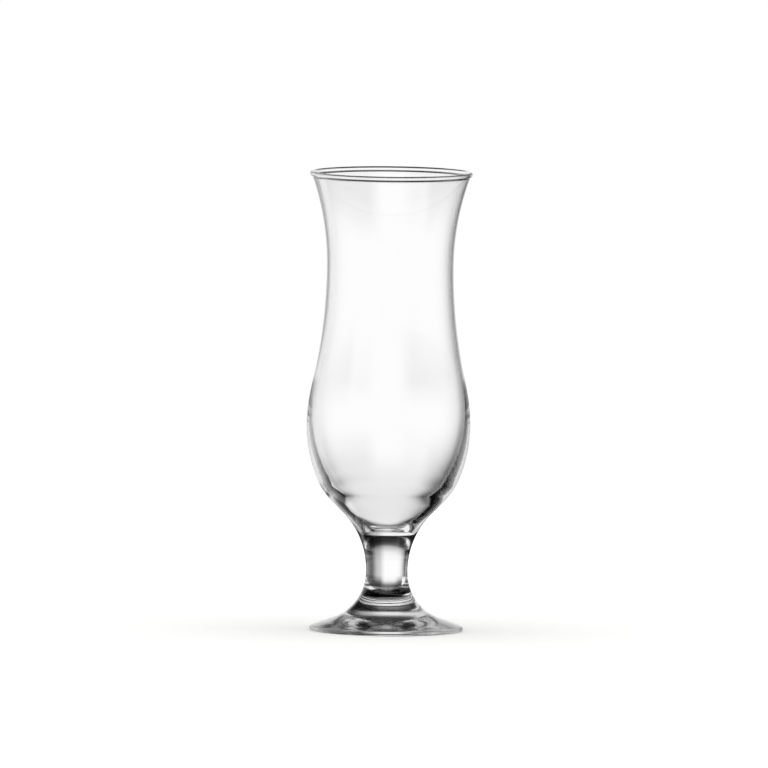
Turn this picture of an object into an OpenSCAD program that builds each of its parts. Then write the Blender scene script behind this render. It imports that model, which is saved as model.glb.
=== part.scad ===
// Tulip glass with a flared bowl, a short solid stem and a round foot.
// Three pieces of clear glass, fused hot at two cupped seats that fit face to face.
// Millimetres; the origin is the centre of the resting ring and +Z is the axis of the glass.
// Every outline lies in the plane of the axis, as [distance from the axis, height].

/* [Overall] */
// Height from the resting ring to the top of the rim
height = 210; // [204:1:216]
// Colour of the glass, with its clearness last
glass_colour = [0.86, 0.92, 0.90, 0.45]; // [0:0.01:1]

/* [Bowl outside] */
// Diameter over the bead of the rim
rim_d = 74.4; // [70:0.2:80]
// Diameter of the round bead on the rim
bead_d = 2.3; // [2.1:0.1:3]
// Diameter of the waist, the narrowest part of the bowl's upper half
waist_d = 58; // [54:0.2:62]
// Height of the waist
waist_z = 166.5; // [162:0.5:172]
// Diameter of the belly, the widest part of the bowl's lower half
belly_d = 74.8; // [72.6:0.2:78]
// Height of the belly
belly_z = 93.5; // [92:0.5:95]
// Radius of the hollow sweep from the waist down to the belly
flank_rad = 237; // [190:1:260]
// Radius of the curve just under the belly
under_rad = 63; // [58:0.5:68]
// Radius of the tighter heel below it
heel_rad = 33.3; // [28:0.5:38]
// Turn of the wall from upright where the heel begins, in degrees
heel_turn = 23; // [18:0.5:28]
// Slope of the wall from upright where it runs into the stem, in degrees
neck_turn = 45; // [42:0.5:48]

/* [Bowl inside] */
// Thickness of the wall from the rim to the waist
wall = 1; // [0.8:0.1:1.6]
// Diameter of the hollow at its widest
hollow_d = 70.7; // [68.9:0.2:71.3]
// Height of the widest part of the hollow
hollow_z = 98; // [96:0.5:100]
// Radius of the hollow's side below its widest part
side_rad = 58; // [55:0.5:61]
// Turn of the side from upright where it begins to curve in faster, in degrees
side_turn = 31; // [28:0.5:34]
// Radius of that faster curve
well_rad = 24; // [20:0.5:30]
// Slope of the conical well from upright, in degrees
well_turn = 42.5; // [40.5:0.5:44.5]
// Height of the flat bottom of the well
well_z = 46.9; // [46.2:0.1:48.5]
// Radius of the corner between the well and its bottom
corner_rad = 0.8; // [0.6:0.1:3]

/* [Stem] */
// Diameter of the stem at its narrowest
stem_d = 19.2; // [17:0.2:21]
// Height at which the stem's narrowest part ends and the neck opens
neck_z = 27.6; // [26.4:0.1:30]
// Height at which the cove begins below the narrowest part
cove_z = 26.2; // [25:0.1:26.3]
// Turn along the neck at which the stem's cupped head ends, in degrees
head_turn = 34; // [28:1:38]
// Depth of the cup in the head
head_cup = 4.6; // [3.4:0.1:5]

/* [Foot] */
// Diameter of the foot
foot_d = 70.2; // [66:0.2:76]
// Fall of the foot's top from level, in degrees
foot_fall = 19; // [17:0.5:20]
// Radius of the foot's rounded edge
edge_rad = 1.15; // [0.9:0.05:1.5]
// Turn along the cove at which the stem ends on the foot, in degrees
base_turn = 36; // [30:1:42]
// Depth of the stem's round button in the foot
base_cup = 2.2; // [1:0.1:3]
// Inner diameter of the flat resting ring
ring_d = 54; // [44:1:60]
// Height of the hollow under the foot
kick = 1.2; // [0.6:0.1:2]

/* [Hidden] */
$fn = 180;
// Largest gap between a curve and the straight steps that draw it
chord_gap = 0.008;
// Radius of the hollow blends where the wall swells into the bead
lip_rad = 1.6;

rim_r = rim_d / 2;
bead_rad = bead_d / 2;
waist_r = waist_d / 2;
belly_r = belly_d / 2;
hollow_r = hollow_d / 2;
stem_r = stem_d / 2;
foot_r = foot_d / 2;
ring_r = ring_d / 2;

// Point at an angle on a circle, and the angle of a direction
function polar(c, r, a) = c + r * [cos(a), sin(a)];
function bearing(v) = atan2(v.y, v.x);
// Points along an arc, without the first, where the stretch before it ended
function arc_to(c, r, a0, a1) =
    let (steps = max(2, ceil(abs(a1 - a0) / (2 * acos(1 - chord_gap / r)))))
    [for (i = [1 : steps]) polar(c, r, a0 + (a1 - a0) * i / steps)];
// One of the two points where two circles cross, on the left of the line between them or the right
function crossing(c1, r1, c2, r2, side) =
    let (gap = c2 - c1, d = norm(gap), along = (r1 * r1 - r2 * r2 + d * d) / (2 * d))
    c1 + (along * gap + side * sqrt(r1 * r1 - along * along) * [-gap.y, gap.x]) / d;
// Sum of the radii of two arcs that meet in one tangent and are both upright at their far ends
function radii_of_s_curve(rise, run) = (rise * rise + run * run) / (2 * run);
// Radius of a cap of a given depth over a ring of a given radius
function cap_radius(ring, depth) = (ring * ring + depth * depth) / (2 * depth);
// Arc of a cap that hangs below a ring, from the axis out to the ring
function cap_to(ring, depth) =
    let (r = cap_radius(ring.x, depth))
    arc_to([0, ring.y - depth + r], r, -90, -90 + asin(ring.x / r));
function reversed(path) = [for (i = [len(path) - 1 : -1 : 0]) path[i]];
function without_last(path) = [for (i = [0 : len(path) - 2]) path[i]];

// Flare: one arc from the waist whose wall carries the bead on its middle line
bead_c = [rim_r - bead_rad, height - bead_rad];
flare_run = bead_c.x - waist_r;
flare_rise = bead_c.y - waist_z;
flare_rad = (flare_run * flare_run + flare_rise * flare_rise - wall * wall / 4) / (2 * flare_run + wall);
flare_c = [waist_r + flare_rad, waist_z];
lip_out_c = crossing(flare_c, flare_rad - lip_rad, bead_c, bead_rad + lip_rad, 1);
lip_in_c = crossing(flare_c, flare_rad + wall + lip_rad, bead_c, bead_rad + lip_rad, 1);

// Belly: the flank's hollow arc turns into the shoulder's round one
flank_c = [waist_r + flank_rad, waist_z];
shoulder_rad = radii_of_s_curve(waist_z - belly_z, belly_r - waist_r) - flank_rad;
shoulder_c = [belly_r - shoulder_rad, belly_z];
flank_turn = bearing(flank_c - shoulder_c);
under_c = [belly_r - under_rad, belly_z];
heel_c = polar(under_c, under_rad - heel_rad, -heel_turn);
heel_end = polar(heel_c, heel_rad, -neck_turn);

// Inside of the bowl: same flare and flank at the wall's thickness, then a thicker base
hollow_waist_r = waist_r - wall;
hollow_flank_rad = flank_rad + wall;
hollow_shoulder_rad = radii_of_s_curve(waist_z - hollow_z, hollow_r - hollow_waist_r) - hollow_flank_rad;
hollow_shoulder_c = [hollow_r - hollow_shoulder_rad, hollow_z];
hollow_flank_turn = bearing(flank_c - hollow_shoulder_c);
side_c = [hollow_r - side_rad, hollow_z];
well_c = polar(side_c, side_rad - well_rad, -side_turn);
well_top = polar(well_c, well_rad, -well_turn);
// Corner: one arc, tangent to the slope of the well and to its level bottom
corner_c = [
    well_top.x - ((well_top.y - well_z - corner_rad) * sin(well_turn) + corner_rad) / cos(well_turn),
    well_z + corner_rad
];

// Neck: one arc, upright at the stem's narrowest part and tangent to the slope under the heel
neck_rad = ((heel_end.y - neck_z) * sin(neck_turn) - (heel_end.x - stem_r) * cos(neck_turn))
    / (1 - cos(neck_turn));
neck_c = [stem_r + neck_rad, neck_z];
head_ring = polar(neck_c, neck_rad, 180 - head_turn);

// Cove: one arc, upright at the stem and tangent to the sloping top of the foot
edge_c = [foot_r - edge_rad, edge_rad];
cove_rad = (cove_z * cos(foot_fall) - (edge_c.x - stem_r) * sin(foot_fall)
    - edge_rad * (1 + cos(foot_fall))) / (1 - sin(foot_fall));
cove_c = [stem_r + cove_rad, cove_z];
base_ring = polar(cove_c, cove_rad, 180 + base_turn);

// Outlines of the three pieces
bead_from = bearing(lip_out_c - bead_c);
bead_to = 360 + bearing(lip_in_c - bead_c);
lip_out_turn = bearing(lip_out_c - flare_c);
lip_in_turn = bearing(lip_in_c - flare_c);
bowl_outside = concat(
    [head_ring],
    arc_to(neck_c, neck_rad, 180 - head_turn, 180 - neck_turn),
    [heel_end],
    arc_to(heel_c, heel_rad, -neck_turn, -heel_turn),
    arc_to(under_c, under_rad, -heel_turn, 0),
    arc_to(shoulder_c, shoulder_rad, 0, flank_turn),
    arc_to(flank_c, flank_rad, 180 + flank_turn, 180),
    arc_to(flare_c, flare_rad, 180, lip_out_turn)
);
bowl_rim = concat(
    arc_to(lip_out_c, lip_rad, lip_out_turn, 180 + bead_from),
    arc_to(bead_c, bead_rad, bead_from, 90),
    arc_to(bead_c, bead_rad, 90, bead_to),
    arc_to(lip_in_c, lip_rad, bead_to - 180, lip_in_turn - 180)
);
bowl_inside = concat(
    arc_to(flare_c, flare_rad + wall, lip_in_turn, 180),
    arc_to(flank_c, hollow_flank_rad, 180, 180 + hollow_flank_turn),
    arc_to(hollow_shoulder_c, hollow_shoulder_rad, hollow_flank_turn, 0),
    arc_to(side_c, side_rad, 0, -side_turn),
    arc_to(well_c, well_rad, -side_turn, -well_turn),
    [polar(corner_c, corner_rad, -well_turn)],
    arc_to(corner_c, corner_rad, -well_turn, -90),
    [[0, well_z]]
);
head_seat = concat([[0, head_ring.y - head_cup]], without_last(cap_to(head_ring, head_cup)));
base_seat = concat([[0, base_ring.y - base_cup]], without_last(cap_to(base_ring, base_cup)));
stem_side = concat(
    [head_ring],
    arc_to(neck_c, neck_rad, 180 - head_turn, 180),
    [[stem_r, cove_z]],
    arc_to(cove_c, cove_rad, 180, 180 + base_turn)
);
kick_rad = cap_radius(ring_r, kick);
foot_side = concat(
    [base_ring],
    arc_to(cove_c, cove_rad, 180 + base_turn, 270 - foot_fall),
    [polar(edge_c, edge_rad, 90 - foot_fall)],
    arc_to(edge_c, edge_rad, 90 - foot_fall, -90),
    [[ring_r, 0]],
    arc_to([0, kick - kick_rad], kick_rad, 90 - asin(ring_r / kick_rad), 90)
);

// A piece of glass turned about the axis from its outline
module turned(outline) {
    color(glass_colour)
        rotate_extrude()
            polygon(outline);
}

// Blown cup with its beaded rim; its round bottom rests in the head of the stem
module bowl() {
    turned(concat(bowl_outside, bowl_rim, bowl_inside, head_seat));
}

// Solid column, cupped at the head and rounded where it enters the foot
module stem() {
    turned(concat(stem_side, reversed(base_seat), head_seat));
}

// Pressed disc with a cove up to the stem and a hollow under it
module foot() {
    turned(concat(foot_side, base_seat));
}

bowl();
stem();
foot();
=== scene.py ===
"""Looks of the tulip glass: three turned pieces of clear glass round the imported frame, on a pale stage.

Lengths are metres. Every outline is a list of [distance from the axis, height] in the plane of the axis.
"""

import math
from math import pi

import bpy
import numpy as np
from bpy.props import FloatProperty, FloatVectorProperty, IntProperty, PointerProperty
from mathutils import Matrix, Vector


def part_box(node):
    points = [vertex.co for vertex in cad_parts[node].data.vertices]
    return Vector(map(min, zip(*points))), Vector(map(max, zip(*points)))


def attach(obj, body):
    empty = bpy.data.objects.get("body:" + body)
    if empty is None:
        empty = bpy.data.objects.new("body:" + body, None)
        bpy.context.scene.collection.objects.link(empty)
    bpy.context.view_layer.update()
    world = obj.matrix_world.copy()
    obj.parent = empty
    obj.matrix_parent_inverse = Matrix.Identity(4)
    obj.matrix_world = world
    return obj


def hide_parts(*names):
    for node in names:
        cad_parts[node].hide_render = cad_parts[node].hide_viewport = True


bl_info = {
    "name": "Tulip Glass",
    "version": (1, 0, 0),
    "blender": (4, 5, 0),
    "location": "View3D > Sidebar > Tulip Glass",
    "description": "Builds a clear footed tulip glass and a pale studio stage for it",
    "category": "Add Mesh",
}

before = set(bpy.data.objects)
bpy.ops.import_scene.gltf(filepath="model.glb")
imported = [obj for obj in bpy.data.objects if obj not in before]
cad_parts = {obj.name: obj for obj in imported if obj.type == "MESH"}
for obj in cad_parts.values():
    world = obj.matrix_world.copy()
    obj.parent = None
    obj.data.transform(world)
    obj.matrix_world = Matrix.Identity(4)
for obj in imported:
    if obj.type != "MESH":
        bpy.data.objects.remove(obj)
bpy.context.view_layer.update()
BOWL_LOW, BOWL_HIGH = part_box("bowl")
STEM_LOW, STEM_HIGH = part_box("stem")
_, FOOT_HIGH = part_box("foot")
MM = 0.001


# Sizes and colours

def linear(hex_colour):
    """Turns an sRGB hex colour into linear red, green and blue."""
    srgb = np.array([int(hex_colour[i:i + 2], 16) for i in (1, 3, 5)]) / 255
    return tuple(np.where(srgb <= 0.04045, srgb / 12.92, ((srgb + 0.055) / 1.055) ** 2.4))


def size(name, description, default):
    """Property for one length, in metres."""
    return FloatProperty(
        name=name, description=description, default=default, min=0, unit="LENGTH", precision=5
    )


def turn(name, description, degrees):
    """Property for one angle, given in degrees."""
    return FloatProperty(name=name, description=description, default=math.radians(degrees), subtype="ANGLE")


def share(name, description, default):
    """Property for a brightness, where 1 is white."""
    return FloatProperty(
        name=name, description=description, default=default, min=0, max=1, subtype="FACTOR"
    )


def colour(name, description, hex_colour):
    """Property for one colour, given as sRGB hex."""
    return FloatVectorProperty(
        name=name, description=description, default=linear(hex_colour), min=0, max=1, subtype="COLOR"
    )


class TulipGlassShape(bpy.types.PropertyGroup):
    """Sizes of the three pieces of the glass."""

    height: size("Height", "From the resting ring to the top of the rim", BOWL_HIGH.z)
    rim_r: size("Rim radius", "To the outside of the bead", 37.2 * MM)
    bead_r: size("Bead radius", "Half the thickness of the round bead on the rim", 1.15 * MM)
    lip_r: size("Lip blend", "Radius of the hollow blends under the bead", 1.6 * MM)
    waist_r: size("Waist radius", "Narrowest part of the bowl's upper half", 29.0 * MM)
    waist_z: size("Waist height", "Height of the waist", 166.5 * MM)
    belly_r: size("Belly radius", "Widest part of the bowl's lower half", BOWL_HIGH.x)
    belly_z: size("Belly height", "Height of the belly", 93.5 * MM)
    flank_r: size("Flank sweep", "Radius of the hollow sweep from waist to belly", 237 * MM)
    under_r: size("Under-belly curve", "Radius of the curve just under the belly", 63 * MM)
    heel_r: size("Heel curve", "Radius of the tighter heel below it", 33.3 * MM)
    heel_turn: turn("Heel turn", "Turn of the wall from upright where the heel begins", 23)
    neck_turn: turn("Neck slope", "Slope of the wall from upright where it runs into the stem", 45)
    wall: size("Wall", "Thickness of the wall from the rim to the waist", 1.0 * MM)
    hollow_r: size("Hollow radius", "Widest part of the hollow", 35.35 * MM)
    hollow_z: size("Hollow height", "Height of the widest part of the hollow", 98 * MM)
    side_r: size("Side curve", "Radius of the hollow's side below its widest part", 58 * MM)
    side_turn: turn("Side turn", "Turn of the side from upright where it begins to curve in faster", 31)
    well_r: size("Well curve", "Radius of that faster curve", 24 * MM)
    well_turn: turn("Well slope", "Slope of the conical well from upright", 42.5)
    well_z: size("Well height", "Height of the flat bottom of the well", 46.9 * MM)
    corner_r: size("Corner radius", "Radius of the corner between the well and its bottom", 0.8 * MM)
    stem_r: size("Stem radius", "Narrowest part of the stem", 9.6 * MM)
    neck_z: size("Neck height", "Where the narrowest part ends and the neck opens", 27.6 * MM)
    cove_z: size("Cove height", "Where the cove begins below the narrowest part", 26.2 * MM)
    head_turn: turn("Head turn", "Turn along the neck at which the stem's cupped head ends", 34)
    head_cup: size("Head cup", "Depth of the cup in the stem's head", STEM_HIGH.z - BOWL_LOW.z)
    foot_r: size("Foot radius", "To the outside of the foot's edge", FOOT_HIGH.x)
    foot_fall: turn("Foot fall", "Fall of the foot's top from level", 19)
    edge_r: size("Edge radius", "Radius of the foot's rounded edge", 1.15 * MM)
    base_turn: turn("Base turn", "Turn along the cove at which the stem ends on the foot", 36)
    base_cup: size("Base cup", "Depth of the stem's round button in the foot", FOOT_HIGH.z - STEM_LOW.z)
    ring_r: size("Ring radius", "Inner radius of the flat resting ring", 27 * MM)
    kick: size("Kick", "Height of the hollow under the foot", 1.2 * MM)
    segments: IntProperty(name="Segments", description="Steps round the axis", default=280, min=24, max=512)


class TulipGlassFinish(bpy.types.PropertyGroup):
    """Colours of the glass and the stage."""

    glass: colour("Glass", "Faint tint of the clear glass", "#FEFEFE")
    floor: colour("Floor", "Pale floor", "#F4F4F3")


class TulipGlassStage(bpy.types.PropertyGroup):
    """Camera and set."""

    elevation: turn("Elevation", "Camera above level", 4.3)
    roll: turn("Roll", "Camera turned about its own line of sight", 0.68)
    distance: size("Distance", "Camera to the middle of the glass", 12.0)
    aim: FloatVectorProperty(
        name="Aim", description="Point that the camera looks at", default=(-2.27 * MM, 0, 112.7 * MM),
        subtype="TRANSLATION", unit="LENGTH", precision=5
    )
    photo_scale: FloatProperty(name="Scale", description="Pixels to a metre at the glass", default=2189.6)
    floor_r: size("Floor radius", "Radius of the round floor", 0.8)
    shadow_r: size("Shadow radius", "Where the floor begins to fade to white", 0.2)
    white_r: size("White radius", "Where the floor has faded to white", 0.6)
    near_glow: share("Near glow", "The floor's own light round the glass", 0.15)
    far_glow: share("Far glow", "The floor's own light where it has faded to white", 0.7)
    room: share("Room light", "Brightness of the set on the floor", 0.75)
    light_x: size("Light width", "Width of the overhead softbox", 2.0)
    light_y: size("Light depth", "Depth of the overhead softbox", 1.0)
    light_z: size("Light height", "Height of the softbox over the floor", 1.25)


# Outlines

# Distances between the points of an outline, short where a curve is tight and long on the sweeps
BEAD_STEP = 0.15 * MM
STEM_STEP = 0.3 * MM
HEEL_STEP = 0.55 * MM
BELLY_STEP = 0.8 * MM
SEAT_STEP = 1.0 * MM
KICK_STEP = 1.0 * MM
SHOULDER_STEP = 1.2 * MM
BOWL_SEAT_STEP = 1.5 * MM
FLARE_STEP = 1.8 * MM
FLANK_STEP = 2.4 * MM
# Fewest steps of an arc, and fewest to a radian, so that none turns by more than 6 degrees
ARC_STEPS = 3
RADIAN_STEPS = 30 / pi
# Points on the straight slope of the well and on a level stretch
SLOPE_POINTS = 9
LEVEL_POINTS = 6
# Two points nearer than this are one point
SAME_POINT = 1e-7
# Turn between two faces past which their edge is drawn sharp
SHARP_TURN = math.radians(14)


def polar(centre, radius, angle):
    """Point at an angle on a circle: centre + radius (cos a, sin a)."""
    return np.array(centre) + radius * np.array([math.cos(angle), math.sin(angle)])


def bearing(vector):
    """Angle of a direction."""
    return math.atan2(vector[1], vector[0])


def arc(centre, radius, start, end, step):
    """Points along an arc, about a step apart: centre + radius (cos a, sin a), a from start to end."""
    count = max(ARC_STEPS, math.ceil(abs(end - start) * max(radius / step, RADIAN_STEPS)))
    angles = np.linspace(start, end, count + 1)
    return np.array(centre) + radius * np.stack([np.cos(angles), np.sin(angles)], axis=1)


def crossing(c1, r1, c2, r2):
    """Point where two circles cross, on the left of the line from the first centre to the second.

    It lies (r1 squared - r2 squared + d squared) / 2d along that line, d being the line's length.
    """
    c1, gap = np.array(c1), np.array(c2) - np.array(c1)
    d = np.linalg.norm(gap)
    along = (r1 * r1 - r2 * r2 + d * d) / (2 * d)
    return c1 + (along * gap + math.sqrt(r1 * r1 - along * along) * np.array([-gap[1], gap[0]])) / d


def joined(*stretches):
    """One outline from stretches laid end to end, without the points that two stretches share."""
    points = np.concatenate(stretches)
    apart = np.linalg.norm(np.diff(points, axis=0), axis=1) > SAME_POINT
    return points[np.concatenate([[True], apart])]


def s_curve_radii(rise, run):
    """Sum of the radii of two arcs that meet in one tangent and are both upright at their far ends.

    (rise squared + run squared) / twice the run.
    """
    return (rise * rise + run * run) / (2 * run)


def cap_radius(ring_r, depth):
    """Radius of a cap over a ring: (ring radius squared + depth squared) / twice the depth."""
    return (ring_r ** 2 + depth ** 2) / (2 * depth)


def cap(ring, depth, step):
    """Arc of a round cap that hangs below a ring, from the axis out to the ring."""
    radius = cap_radius(ring[0], depth)
    centre = (0, ring[1] - depth + radius)
    return arc(centre, radius, -pi / 2, -pi / 2 + math.asin(ring[0] / radius), step)


def neck_arc(shape):
    """Centre and radius of the neck, and the centres of the under-belly curve and the heel above it.

    The neck is upright at the stem's narrowest part and tangent to the slope under the heel.
    """
    under_c = np.array([shape.belly_r - shape.under_r, shape.belly_z])
    heel_c = polar(under_c, shape.under_r - shape.heel_r, -shape.heel_turn)
    run, rise = polar(heel_c, shape.heel_r, -shape.neck_turn) - np.array([shape.stem_r, shape.neck_z])
    slope_cos, slope_sin = math.cos(shape.neck_turn), math.sin(shape.neck_turn)
    radius = (rise * slope_sin - run * slope_cos) / (1 - slope_cos)
    return np.array([shape.stem_r + radius, shape.neck_z]), radius, under_c, heel_c


def cove_arc(shape):
    """Centre and radius of the cove: upright at the stem and tangent to the sloping top of the foot."""
    run = shape.foot_r - shape.edge_r - shape.stem_r
    slope_cos, slope_sin = math.cos(shape.foot_fall), math.sin(shape.foot_fall)
    lift = shape.cove_z * slope_cos - run * slope_sin - shape.edge_r * (1 + slope_cos)
    radius = lift / (1 - slope_sin)
    return np.array([shape.stem_r + radius, shape.cove_z]), radius


def bowl_outline(shape):
    """Bowl from the bottom of its seat, up the outside, over the bead and down the inside to the axis.

    Comes with the stretch of it that is fused to the stem.
    """
    neck_c, neck_r, under_c, heel_c = neck_arc(shape)
    seat = cap(polar(neck_c, neck_r, pi - shape.head_turn), shape.head_cup, BOWL_SEAT_STEP)
    # Flare, whose wall carries the bead on its middle line, and the two hollow blends under the bead
    bead_c = np.array([shape.rim_r - shape.bead_r, shape.height - shape.bead_r])
    run, rise = bead_c[0] - shape.waist_r, bead_c[1] - shape.waist_z
    flare_r = (run * run + rise * rise - shape.wall * shape.wall / 4) / (2 * run + shape.wall)
    flare_c = np.array([shape.waist_r + flare_r, shape.waist_z])
    lip_out = crossing(flare_c, flare_r - shape.lip_r, bead_c, shape.bead_r + shape.lip_r)
    lip_in = crossing(flare_c, flare_r + shape.wall + shape.lip_r, bead_c, shape.bead_r + shape.lip_r)
    bead_from, bead_to = bearing(lip_out - bead_c), 2 * pi + bearing(lip_in - bead_c)
    out_turn, in_turn = bearing(lip_out - flare_c), bearing(lip_in - flare_c)
    # Flank and shoulder, outside and inside
    flank_c = np.array([shape.waist_r + shape.flank_r, shape.waist_z])
    shoulder_r = s_curve_radii(shape.waist_z - shape.belly_z, shape.belly_r - shape.waist_r) - shape.flank_r
    shoulder_c = np.array([shape.belly_r - shoulder_r, shape.belly_z])
    flank_turn = bearing(flank_c - shoulder_c)
    inner_flank = shape.flank_r + shape.wall
    inner_shoulder = s_curve_radii(
        shape.waist_z - shape.hollow_z, shape.hollow_r - shape.waist_r + shape.wall
    ) - inner_flank
    inner_shoulder_c = np.array([shape.hollow_r - inner_shoulder, shape.hollow_z])
    inner_turn = bearing(flank_c - inner_shoulder_c)
    # Side of the hollow, and the well with the corner of its bottom
    side_c = np.array([shape.hollow_r - shape.side_r, shape.hollow_z])
    well_c = polar(side_c, shape.side_r - shape.well_r, -shape.side_turn)
    well_top = polar(well_c, shape.well_r, -shape.well_turn)
    lift = well_top[1] - shape.well_z - shape.corner_r
    inset = (lift * math.sin(shape.well_turn) + shape.corner_r) / math.cos(shape.well_turn)
    corner_c = np.array([well_top[0] - inset, shape.well_z + shape.corner_r])
    outline = joined(
        seat,
        arc(neck_c, neck_r, pi - shape.head_turn, pi - shape.neck_turn, HEEL_STEP),
        arc(heel_c, shape.heel_r, -shape.neck_turn, -shape.heel_turn, HEEL_STEP),
        arc(under_c, shape.under_r, -shape.heel_turn, 0, BELLY_STEP),
        arc(shoulder_c, shoulder_r, 0, flank_turn, SHOULDER_STEP),
        arc(flank_c, shape.flank_r, pi + flank_turn, pi, FLANK_STEP),
        arc(flare_c, flare_r, pi, out_turn, FLARE_STEP),
        arc(lip_out, shape.lip_r, out_turn, pi + bead_from, BEAD_STEP),
        arc(bead_c, shape.bead_r, bead_from, pi / 2, BEAD_STEP),
        arc(bead_c, shape.bead_r, pi / 2, bead_to, BEAD_STEP),
        arc(lip_in, shape.lip_r, bead_to - pi, in_turn - pi, BEAD_STEP),
        arc(flare_c, flare_r + shape.wall, in_turn, pi, FLARE_STEP),
        arc(flank_c, inner_flank, pi, pi + inner_turn, FLANK_STEP),
        arc(inner_shoulder_c, inner_shoulder, inner_turn, 0, SHOULDER_STEP),
        arc(side_c, shape.side_r, 0, -shape.side_turn, BELLY_STEP),
        arc(well_c, shape.well_r, -shape.side_turn, -shape.well_turn, HEEL_STEP),
        np.linspace(well_top, polar(corner_c, shape.corner_r, -shape.well_turn), SLOPE_POINTS),
        arc(corner_c, shape.corner_r, -shape.well_turn, -pi / 2, BEAD_STEP),
        np.linspace((corner_c[0], shape.well_z), (0, shape.well_z), LEVEL_POINTS),
    )
    return outline, slice(0, len(seat) - 1)


def stem_outline(shape):
    """Stem from the bottom of its button, up its side and into the cup of its head.

    Comes with the two stretches of it that are fused to the foot and the bowl.
    """
    neck_c, neck_r, _, _ = neck_arc(shape)
    cove_c, cove_r = cove_arc(shape)
    button = cap(polar(cove_c, cove_r, pi + shape.base_turn), shape.base_cup, SEAT_STEP)
    cup = cap(polar(neck_c, neck_r, pi - shape.head_turn), shape.head_cup, SEAT_STEP)[::-1]
    outline = joined(
        button,
        arc(cove_c, cove_r, pi + shape.base_turn, pi, STEM_STEP),
        arc(neck_c, neck_r, pi, pi - shape.head_turn, STEM_STEP),
        cup,
    )
    return outline, np.r_[0:len(button) - 1, len(outline) - len(cup):len(outline) - 1]


def foot_outline(shape):
    """Foot from the middle of its hollow underside, over the ring and edge, up the cove and into its seat.

    Comes with the stretch of it that is fused to the stem.
    """
    cove_c, cove_r = cove_arc(shape)
    kick_r = cap_radius(shape.ring_r, shape.kick)
    edge_c = np.array([shape.foot_r - shape.edge_r, shape.edge_r])
    seat = cap(polar(cove_c, cove_r, pi + shape.base_turn), shape.base_cup, SEAT_STEP)[::-1]
    outline = joined(
        arc((0, shape.kick - kick_r), kick_r, pi / 2, pi / 2 - math.asin(shape.ring_r / kick_r), KICK_STEP),
        np.linspace((shape.ring_r, 0), (edge_c[0], 0), LEVEL_POINTS),
        arc(edge_c, shape.edge_r, -pi / 2, pi / 2 - shape.foot_fall, BEAD_STEP),
        arc(cove_c, cove_r, 1.5 * pi - shape.foot_fall, pi + shape.base_turn, STEM_STEP),
        seat,
    )
    return outline, slice(len(outline) - len(seat), len(outline) - 1)


def turned(name, outline, seam, segments, materials):
    """Closed surface of an outline turned about the axis: (r cos t, r sin t, z), with a pole at each end.

    Faces on the outline's stretch named seam take the second material, the rest the first.
    """
    angles = np.arange(segments) * (2 * pi / segments)
    ring = np.stack([np.cos(angles), np.sin(angles)], axis=1)
    middle = outline[1:-1]
    grid = np.empty((len(middle), segments, 3))
    grid[:, :, :2] = middle[:, None, :1] * ring[None]
    grid[:, :, 2] = middle[:, 1:]
    poles = [(0, 0, outline[0][1]), (0, 0, outline[-1][1])]
    vertices = np.concatenate([grid.reshape(-1, 3), poles])
    index = np.arange(len(middle) * segments).reshape(len(middle), segments)
    after = np.roll(index, -1, axis=1)
    quads = np.stack([index[:-1], after[:-1], after[1:], index[1:]], axis=-1).reshape(-1, 4)
    first, last = len(vertices) - 2, len(vertices) - 1
    start_fan = np.stack([np.full(segments, first), after[0], index[0]], axis=1)
    end_fan = np.stack([np.full(segments, last), index[-1], after[-1]], axis=1)
    mesh = bpy.data.meshes.new(name)
    mesh.from_pydata(vertices, [], start_fan.tolist() + quads.tolist() + end_fan.tolist())
    stretch = np.zeros(len(outline) - 1, dtype=np.int32)
    stretch[seam] = 1
    mesh.polygons.foreach_set("material_index", np.repeat(stretch, segments))
    mesh.shade_smooth()
    mesh.set_sharp_from_angle(angle=SHARP_TURN)
    for material in materials:
        mesh.materials.append(material)
    mesh.update()
    if mesh.validate():
        raise RuntimeError(f"{name}: the turned surface has bad faces")
    piece = bpy.data.objects.new(name, mesh)
    bpy.context.scene.collection.objects.link(piece)
    return piece


# Materials

GLASS_IOR = 1.52
# Patches of haze to a wave's length, and the range of their noise over which the haze sets in
HAZE_PATCHES = 6
HAZE_FROM, HAZE_TO = 0.45, 0.75
# Heights between which the scuff under the foot fades out, just above the hollow
SCUFF_FULL, SCUFF_END = 1.3 * MM, 1.7 * MM


def add(tree, kind, settings):
    """Adds a node with its settings.

    A setting goes to the attribute or input of its name or number. Another node's socket is linked to it.
    """
    node = tree.nodes.new(kind)
    for key, value in settings.items():
        if isinstance(value, bpy.types.NodeSocket):
            tree.links.new(value, node.inputs[key])
        elif isinstance(key, str) and hasattr(node, key):
            setattr(node, key, value)
        else:
            node.inputs[key].default_value = value
    return node


def blank_material(name):
    """New material with an empty node tree."""
    material = bpy.data.materials.new(name)
    material.use_nodes = True
    material.node_tree.nodes.clear()
    return material, material.node_tree


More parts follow.
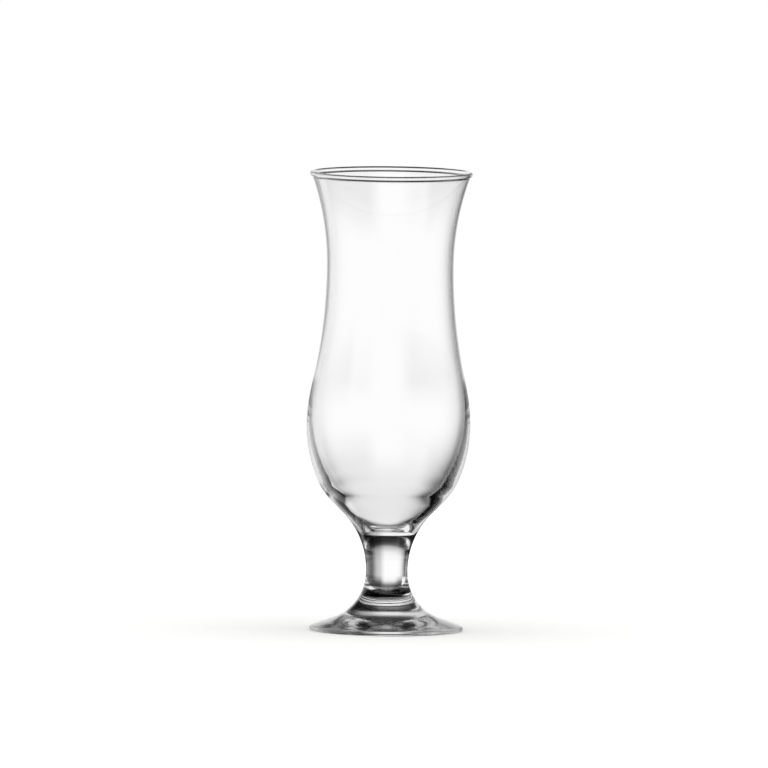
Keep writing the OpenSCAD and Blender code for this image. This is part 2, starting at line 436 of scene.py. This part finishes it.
def clear_glass(name, wave, swell, haze, scuff=0.0):
    """Clear soda-lime glass with faint waves, a trace of haze and a scuffed underside.

    The waves, from soft noise a given length apart and a given height, keep edges and reflections from
    being ruler-straight. The haze, a finer noise, dulls the polish here and there. The scuff, on the lowest
    stretch that stands on tables, blurs what is seen through the foot.
    """
    material, tree = blank_material(name)
    where = add(tree, "ShaderNodeTexCoord", {})
    waves = add(tree, "ShaderNodeTexNoise", {
        "Vector": where.outputs["Object"], "Scale": 1 / wave, "Detail": 1.0,
    })
    skin = add(tree, "ShaderNodeBump", {"Height": waves.outputs[0], "Strength": 1.0, "Distance": swell})
    smears = add(tree, "ShaderNodeTexNoise", {
        "Vector": where.outputs["Object"], "Scale": HAZE_PATCHES / wave, "Detail": 3.0,
    })
    polish = add(tree, "ShaderNodeMapRange", {
        "Value": smears.outputs[0], "From Min": HAZE_FROM, "From Max": HAZE_TO,
        "To Min": 0.0, "To Max": haze,
    })
    parts = add(tree, "ShaderNodeSeparateXYZ", {"Vector": where.outputs["Object"]})
    worn = add(tree, "ShaderNodeMapRange", {
        "Value": parts.outputs["Z"], "From Min": SCUFF_FULL, "From Max": SCUFF_END,
        "To Min": scuff, "To Max": 0.0,
    })
    rough = add(tree, "ShaderNodeMath", {"operation": "MAXIMUM", 0: polish.outputs[0], 1: worn.outputs[0]})
    shader = add(tree, "ShaderNodeBsdfPrincipled", {
        "Base Color": (*bpy.context.scene.tulip_finish.glass, 1), "IOR": GLASS_IOR,
        "Transmission Weight": 1.0, "Roughness": rough.outputs[0], "Normal": skin.outputs[0],
    })
    add(tree, "ShaderNodeOutputMaterial", {"Surface": shader.outputs[0]})
    return material


def fused_seam():
    """Inside a fused joint nothing is left to see: light goes straight on."""
    material, tree = blank_material("fused_seam")
    shader = add(tree, "ShaderNodeBsdfTransparent", {})
    add(tree, "ShaderNodeOutputMaterial", {"Surface": shader.outputs[0]})
    return material


# Pieces

def make_piece(name, node, outline_of, glass):
    """Turned piece that stands for its CAD node, rides with the part and takes the glass slot's finish."""
    shape = bpy.context.scene.tulip_shape
    outline, seam = outline_of(shape)
    piece = turned(name, outline, seam, shape.segments, [glass, fused_seam()])
    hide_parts(node)
    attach(piece, "root")


class TULIP_OT_bowl(bpy.types.Operator):
    """Blown bowl with its beaded rim"""

    bl_idname = "tulip.bowl"
    bl_label = "Bowl"

    def execute(self, context):
        glass = clear_glass("blown_soda_lime_glass", wave=26 * MM, swell=0.02 * MM, haze=0.03)
        make_piece("blown_bowl", "bowl", bowl_outline, glass)
        return {"FINISHED"}


class TULIP_OT_stem(bpy.types.Operator):
    """Short solid stem"""

    bl_idname = "tulip.stem"
    bl_label = "Stem"

    def execute(self, context):
        glass = clear_glass("drawn_soda_lime_glass", wave=14 * MM, swell=0.01 * MM, haze=0.03)
        make_piece("solid_stem", "stem", stem_outline, glass)
        return {"FINISHED"}


class TULIP_OT_foot(bpy.types.Operator):
    """Pressed foot"""

    bl_idname = "tulip.foot"
    bl_label = "Foot"

    def execute(self, context):
        glass = clear_glass("pressed_soda_lime_glass", wave=10 * MM, swell=0.01 * MM, haze=0.03, scuff=0.13)
        make_piece("pressed_foot", "foot", foot_outline, glass)
        return {"FINISHED"}


# Stage

FLOOR_SIDES = 96
# Light is followed through this many faces of glass
BOUNCES = 32
# Camera: width of its sensor in millimetres, width of the picture in pixels, and farthest distance
SENSOR = 36.0
PICTURE = 768
FARTHEST = 100

# Dark flags round the white set: the share of darkness over azimuth and over height, in degrees, and the
# light that sees the flag. Azimuth 0 is straight behind the glass and 90 is its right side. Glancing light
# has been reflected in the glass or on it, and straight light has only passed through.
FLAGS = (
    # Right side, from a soft edge
    (((3, 0), (8, 0.18), (13, 0.4), (20, 0.5), (27, 0.78), (33, 0.96), (56, 0.94), (72, 0.35), (88, 0.1),
      (105, 0)),
     ((-90, 1),), "all"),
    # Right side, low down
    (((5, 0), (13, 0.8), (28, 0.8), (36, 0)), ((-20, 1), (-8, 0)), "all"),
    # Far right and far left, for the sides of the stem
    (((54, 0), (64, 0.9), (104, 0.9), (118, 0)), ((-55, 0), (-40, 1)), "straight"),
    (((-86, 0), (-69, 0.8), (-62, 0.8), (-52, 0)), ((-55, 0), (-40, 1)), "straight"),
    # Left side, down to a little below the horizon
    (((-66, 0), (-57, 0.4), (-51, 0.9), (-45, 0.95), (-40, 0.6), (-34, 0.3), (-28, 0.08), (-20, 0)),
     ((-16, 0), (-10, 0.9), (4, 1)), "straight"),
    # Left side, low down
    (((-39, 0), (-34, 0.75), (-26, 0.65), (-16, 0)), ((-20, 1), (-8, 0)), "all"),
    # Left and right, below eye level, for the edges of the bowl
    (((-42, 0), (-35, 0.6), (-14, 0.55), (-10, 0)), ((-27, 0), (-21, 1), (-1, 1), (2, 0)), "glancing"),
    (((8, 0), (13, 0.7), (34, 0.7), (42, 0)), ((-27, 0), (-21, 1), (-12, 1), (-5, 0)), "glancing"),
    # Ceiling, up to the camera's side
    (((-165, 0), (-140, 1), (140, 1), (165, 0)),
     ((7, 0), (11, 0.12), (14, 0.3), (17.5, 0.5), (21, 0.9), (26, 0.97)), "all"),
    # Ground on the left, behind and on the right, with a gap on the left and one at the camera's side
    (((-165, 0), (-140, 1), (-62, 1), (-54, 0), (-39, 0), (-35, 1), (108, 1), (120, 0)),
     ((-33, 0.97), (-27, 0.9), (-22, 0.68), (-19, 0.35), (-16, 0.12), (-12, 0)), "all"),
    # Straight overhead and straight below
    (((-180, 1),), ((-52, 0.97), (-42, 0), (34, 0), (46, 0.97)), "all"),
)


def ramp(tree, stops, angle):
    """Grey ramp with its stops in degrees, from -180 to 180, over an angle in radians."""
    spread = add(tree, "ShaderNodeMapRange", {"Value": angle, "From Min": -pi, "From Max": pi})
    node = add(tree, "ShaderNodeValToRGB", {"Fac": spread.outputs[0]})
    elements = node.color_ramp.elements
    elements.remove(elements[-1])
    for i, (degrees, level) in enumerate(stops):
        position = (degrees + 180) / 360
        element = elements[0] if i == 0 else elements.new(position)
        element.position = position
        element.color = (level, level, level, 1)
    return node.outputs[0]


def surround(tree, direction, glossy_depth):
    """Brightness of the set in a direction from the glass: white, less each flag that the light sees.

    Each flag multiplies it by 1 - (its share over azimuth times its share over height).
    """
    parts = add(tree, "ShaderNodeSeparateXYZ", {"Vector": direction})
    azimuth = add(tree, "ShaderNodeMath", {
        "operation": "ARCTAN2", 0: parts.outputs["X"], 1: parts.outputs["Y"],
    })
    height = add(tree, "ShaderNodeMath", {"operation": "ARCSINE", 0: parts.outputs["Z"]})
    glancing = add(tree, "ShaderNodeMath", {"operation": "MINIMUM", 0: glossy_depth, 1: 1.0})
    straight = add(tree, "ShaderNodeMath", {"operation": "SUBTRACT", 0: 1.0, 1: glancing.outputs[0]})
    seen_by = {"all": 1.0, "glancing": glancing.outputs[0], "straight": straight.outputs[0]}
    level = 1.0
    for around, upward, kind in FLAGS:
        dark = add(tree, "ShaderNodeMath", {
            "operation": "MULTIPLY",
            0: ramp(tree, around, azimuth.outputs[0]), 1: ramp(tree, upward, height.outputs[0]),
        })
        shade = add(tree, "ShaderNodeMath", {"operation": "MULTIPLY", 0: dark.outputs[0], 1: seen_by[kind]})
        light = add(tree, "ShaderNodeMath", {"operation": "SUBTRACT", 0: 1.0, 1: shade.outputs[0]})
        flagged = add(tree, "ShaderNodeMath", {"operation": "MULTIPLY", 0: level, 1: light.outputs[0]})
        level = flagged.outputs[0]
    return level


def make_floor(scene, stage):
    """Round pale floor that takes the shadow near the glass and fades to white further out.

    Matt paint, which gives a soft shadow, and a glow that only the camera sees, which gives the fade.
    """
    material, tree = blank_material("pale_floor")
    path = add(tree, "ShaderNodeLightPath", {})
    where = add(tree, "ShaderNodeTexCoord", {})
    far = add(tree, "ShaderNodeVectorMath", {"operation": "LENGTH", 0: where.outputs["Object"]})
    fade = add(tree, "ShaderNodeMapRange", {
        "Value": far.outputs["Value"], "From Min": stage.shadow_r, "From Max": stage.white_r,
        "To Min": stage.near_glow, "To Max": stage.far_glow,
    })
    glow = add(tree, "ShaderNodeMath", {
        "operation": "MULTIPLY", 0: fade.outputs[0], 1: path.outputs["Is Camera Ray"],
    })
    white = add(tree, "ShaderNodeEmission", {"Strength": glow.outputs[0]})
    paint = add(tree, "ShaderNodeBsdfDiffuse", {"Color": (*scene.tulip_finish.floor, 1)})
    both = add(tree, "ShaderNodeAddShader", {0: white.outputs[0], 1: paint.outputs[0]})
    add(tree, "ShaderNodeOutputMaterial", {"Surface": both.outputs[0]})
    angles = np.arange(FLOOR_SIDES) * (2 * pi / FLOOR_SIDES)
    rim = np.stack([stage.floor_r * np.cos(angles), stage.floor_r * np.sin(angles), 0 * angles], axis=1)
    mesh = bpy.data.meshes.new("floor")
    mesh.from_pydata(rim, [], [list(range(FLOOR_SIDES))])
    mesh.materials.append(material)
    floor = bpy.data.objects.new("floor", mesh)
    scene.collection.objects.link(floor)
    floor.visible_glossy = False
    floor.visible_transmission = False


def make_world(scene, stage):
    """White set: plain for the camera, dimmer as room light, and flagged for reflections and glass."""
    world = bpy.data.worlds.new("set")
    scene.world = world
    world.use_nodes = True
    tree = world.node_tree
    tree.nodes.clear()
    path = add(tree, "ShaderNodeLightPath", {})
    where = add(tree, "ShaderNodeTexCoord", {})
    in_glass = add(tree, "ShaderNodeMath", {
        "operation": "MAXIMUM", 0: path.outputs["Is Glossy Ray"], 1: path.outputs["Is Transmission Ray"],
    })
    flagged = surround(tree, where.outputs["Generated"], path.outputs["Glossy Depth"])
    lit = add(tree, "ShaderNodeMix", {
        "data_type": "FLOAT", "Factor": in_glass.outputs[0], "A": stage.room, "B": flagged,
    })
    seen = add(tree, "ShaderNodeMix", {
        "data_type": "FLOAT", "Factor": path.outputs["Is Camera Ray"], "A": lit.outputs[0], "B": 1.0,
    })
    light = add(tree, "ShaderNodeBackground", {"Color": (1, 1, 1, 1), "Strength": seen.outputs[0]})
    add(tree, "ShaderNodeOutputWorld", {"Surface": light.outputs[0]})


def make_light(scene, stage):
    """Softbox over the glass, as bright as the white set: its power is pi times its area."""
    data = bpy.data.lights.new("softbox", "AREA")
    data.shape = "RECTANGLE"
    data.size, data.size_y = stage.light_x, stage.light_y
    data.energy = pi * stage.light_x * stage.light_y
    light = bpy.data.objects.new("softbox", data)
    light.location = (0, 0, stage.light_z)
    light.visible_camera = False
    light.visible_glossy = False
    light.visible_transmission = False
    scene.collection.objects.link(light)


def make_camera(scene, stage):
    """Long-lens camera at the photographed angle.

    Its lens is the sensor's width times the distance, over the width that the picture covers.
    """
    data = bpy.data.cameras.new("camera")
    data.sensor_width = SENSOR
    data.lens = data.sensor_width * stage.photo_scale * stage.distance / PICTURE
    data.clip_end = FARTHEST
    camera = bpy.data.objects.new("camera", data)
    scene.collection.objects.link(camera)
    scene.camera = camera
    back = Vector((0, -math.cos(stage.elevation), math.sin(stage.elevation)))
    stand = Matrix.Translation(Vector(stage.aim) + back * stage.distance)
    look = (-back).to_track_quat("-Z", "Y").to_matrix().to_4x4()
    camera.matrix_world = stand @ look @ Matrix.Rotation(stage.roll, 4, "Z")


class TULIP_OT_stage(bpy.types.Operator):
    """Floor, surround, light and camera"""

    bl_idname = "tulip.stage"
    bl_label = "Stage"

    def execute(self, context):
        scene = context.scene
        stage = scene.tulip_stage
        make_floor(scene, stage)
        make_world(scene, stage)
        make_light(scene, stage)
        make_camera(scene, stage)
        scene.view_settings.view_transform = "Standard"
        for limit in ("max_bounces", "transmission_bounces", "glossy_bounces", "transparent_max_bounces"):
            setattr(scene.cycles, limit, BOUNCES)
        return {"FINISHED"}


# Panel and registration

class TULIP_PT_panel(bpy.types.Panel):
    """Sidebar panel"""

    bl_idname = "TULIP_PT_panel"
    bl_label = "Tulip Glass"
    bl_space_type = "VIEW_3D"
    bl_region_type = "UI"
    bl_category = "Tulip Glass"

    def draw(self, context):
        for operator in OPERATORS:
            self.layout.operator(operator.bl_idname)


GROUPS = {"tulip_shape": TulipGlassShape, "tulip_finish": TulipGlassFinish, "tulip_stage": TulipGlassStage}
OPERATORS = (TULIP_OT_bowl, TULIP_OT_stem, TULIP_OT_foot, TULIP_OT_stage)
CLASSES = (*GROUPS.values(), *OPERATORS, TULIP_PT_panel)


def register():
    for cls in CLASSES:
        bpy.utils.register_class(cls)
    for name, group in GROUPS.items():
        setattr(bpy.types.Scene, name, PointerProperty(type=group))


def unregister():
    for name in GROUPS:
        delattr(bpy.types.Scene, name)
    for cls in reversed(CLASSES):
        bpy.utils.unregister_class(cls)


def main():
    register()
    bpy.ops.tulip.stage()
    bpy.ops.tulip.bowl()
    bpy.ops.tulip.stem()
    bpy.ops.tulip.foot()
    bpy.context.view_layer.update()


if __name__ == "__main__":
    main()
